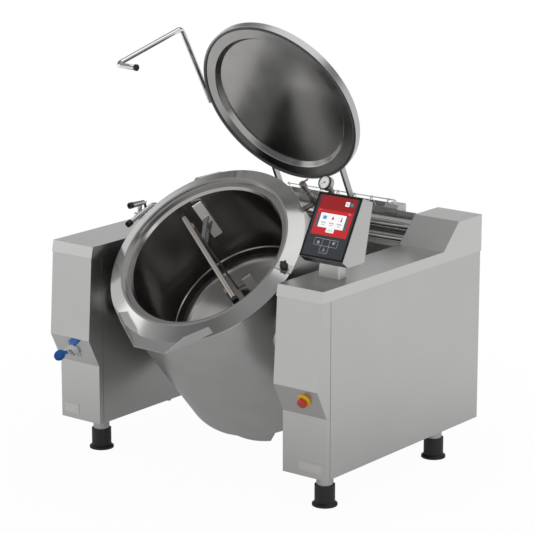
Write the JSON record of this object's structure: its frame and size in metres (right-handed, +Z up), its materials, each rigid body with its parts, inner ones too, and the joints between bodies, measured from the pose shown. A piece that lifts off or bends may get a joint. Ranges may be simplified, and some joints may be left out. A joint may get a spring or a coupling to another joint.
{
  "type": "steam jacketed kettle",
  "caption": "Tilting steam jacketed kettle with a scraping mixer, pouring spout, hinged lid with a long handle, and two floor columns with controls, water tap and spray gun.",
  "frame": {"origin": "on the floor under the middle of the machine as it stands tilted", "axes": "+Z up, the pouring spout towards -Y, the control panel on +X"},
  "size_m": [1.395, 1.2988, 1.8095],
  "materials": {
    "black_plastic": "matte",
    "blue_plastic": "gloss",
    "brass": "satin",
    "bright_steel": "polished",
    "cast_grey": "painted",
    "chrome": "polished",
    "dark_glass": "gloss",
    "display": "gloss",
    "red_plastic": "gloss",
    "satin_steel": "satin",
    "seal_rubber": "matte",
    "white_plastic": "matte",
    "yellow_plastic": "gloss"
  },
  "bodies": {
    "stand": {"base_plates": "satin_steel", "column_frames": "satin_steel", "control_display": "display", "control_glass": "dark_glass", "control_housing": "satin_steel", "control_neck": "satin_steel", "cross_rail": "satin_steel", "feet_sleeves": "black_plastic", "feet_tubes": "satin_steel", "gun_holder": "chrome", "hinge_bearings": "satin_steel", "left_casing": "satin_steel", "left_nose_panel": "satin_steel", "left_top_cover": "satin_steel", "lower_panels": "satin_steel", "power_socket": "blue_plastic", "rear_beam": "satin_steel", "rear_bridge": "satin_steel", "rear_panel": "satin_steel", "right_casing": "satin_steel", "right_nose_panel": "satin_steel", "right_top_cover": "satin_steel", "stop_collar": "yellow_plastic", "tap_base": "chrome", "tilt_gearbox": "cast_grey", "trunnion_bearings": "cast_grey", "water_inlets": "brass"},
    "kettle": {"vessel": "bright_steel", "steam_jacket": "satin_steel", "shaft_seal": "white_plastic", "outer_casing": "satin_steel", "rim_collar": "bright_steel", "pouring_spout": "bright_steel", "trunnion_shafts": "satin_steel", "drive_housing": "satin_steel", "mixer_motor": "cast_grey", "rim_bracket": "satin_steel", "safety_pipe": "chrome", "safety_valve": "brass", "pressure_gauge": "chrome"},
    "mixer": {"mixer_frame": "bright_steel", "mixer_caps": "black_plastic", "scraper_blades": "bright_steel", "blade_brackets": "bright_steel"},
    "lid": {"lid_cover": "satin_steel", "lid_liner": "bright_steel", "lid_gasket": "seal_rubber", "lid_arms": "satin_steel", "lid_handle": "satin_steel", "handle_cap": "black_plastic", "hinge_shaft": "chrome"},
    "swivel_tap": {"tap_spout": "chrome", "tap_tip": "black_plastic"},
    "spray_gun": {"spray_gun": "chrome", "spray_nozzle": "black_plastic"},
    "spray_trigger": {"spray_trigger": "black_plastic"},
    "stop_button": {"stop_button": "red_plastic"},
    "socket_cap": {"socket_cap": "blue_plastic"},
    "star_knob": {"star_knob": "black_plastic"}
  },
  "joints": [
    {"name": "kettle_tilt", "type": "hinge", "parent": "stand", "child": "kettle", "pos_m": [0, -0.2516, 0.648], "axis": [1, 0, 0], "range_deg": [-42, 48]},
    {"name": "mixer_spin", "type": "hinge", "parent": "kettle", "child": "mixer", "pos_m": [0, -0.29893, 0.92026], "axis": [0, -0.6691, 0.7431], "continuous": true},
    {"name": "lid_hinge", "type": "hinge", "parent": "stand", "child": "lid", "pos_m": [0, 0.4804, 0.955], "axis": [-1, 0, 0], "range_deg": [-25, 16]},
    {"name": "tap_swivel", "type": "hinge", "parent": "stand", "child": "swivel_tap", "pos_m": [-0.5, 0.0134, 0], "axis": [0, 0, 1], "range_deg": [-8, 15]},
    {"name": "gun_lift", "type": "slide", "parent": "stand", "child": "spray_gun", "axis": [0, 0, 1], "range_m": [0, 0.12]},
    {"name": "trigger_squeeze", "type": "hinge", "parent": "spray_gun", "child": "spray_trigger", "pos_m": [-0.545, -0.0406, 1.01], "axis": [-1, 0, 0], "range_deg": [0, 10], "stiffness_Nm_per_rad": 0.5},
    {"name": "stop_push", "type": "slide", "parent": "stand", "child": "stop_button", "axis": [0, 0.8941, 0.4478], "range_m": [0, 0.005], "stiffness_N_per_m": 1500},
    {"name": "cap_swing", "type": "hinge", "parent": "stand", "child": "socket_cap", "pos_m": [-0.626, -0.454, 0.43173], "axis": [0, -0.4478, 0.8941], "range_deg": [0, 118]},
    {"name": "knob_turn", "type": "hinge", "parent": "kettle", "child": "star_knob", "pos_m": [0.4, -0.30225, 0.92394], "axis": [0.4104, -0.6102, 0.6777], "continuous": true}
  ]
}
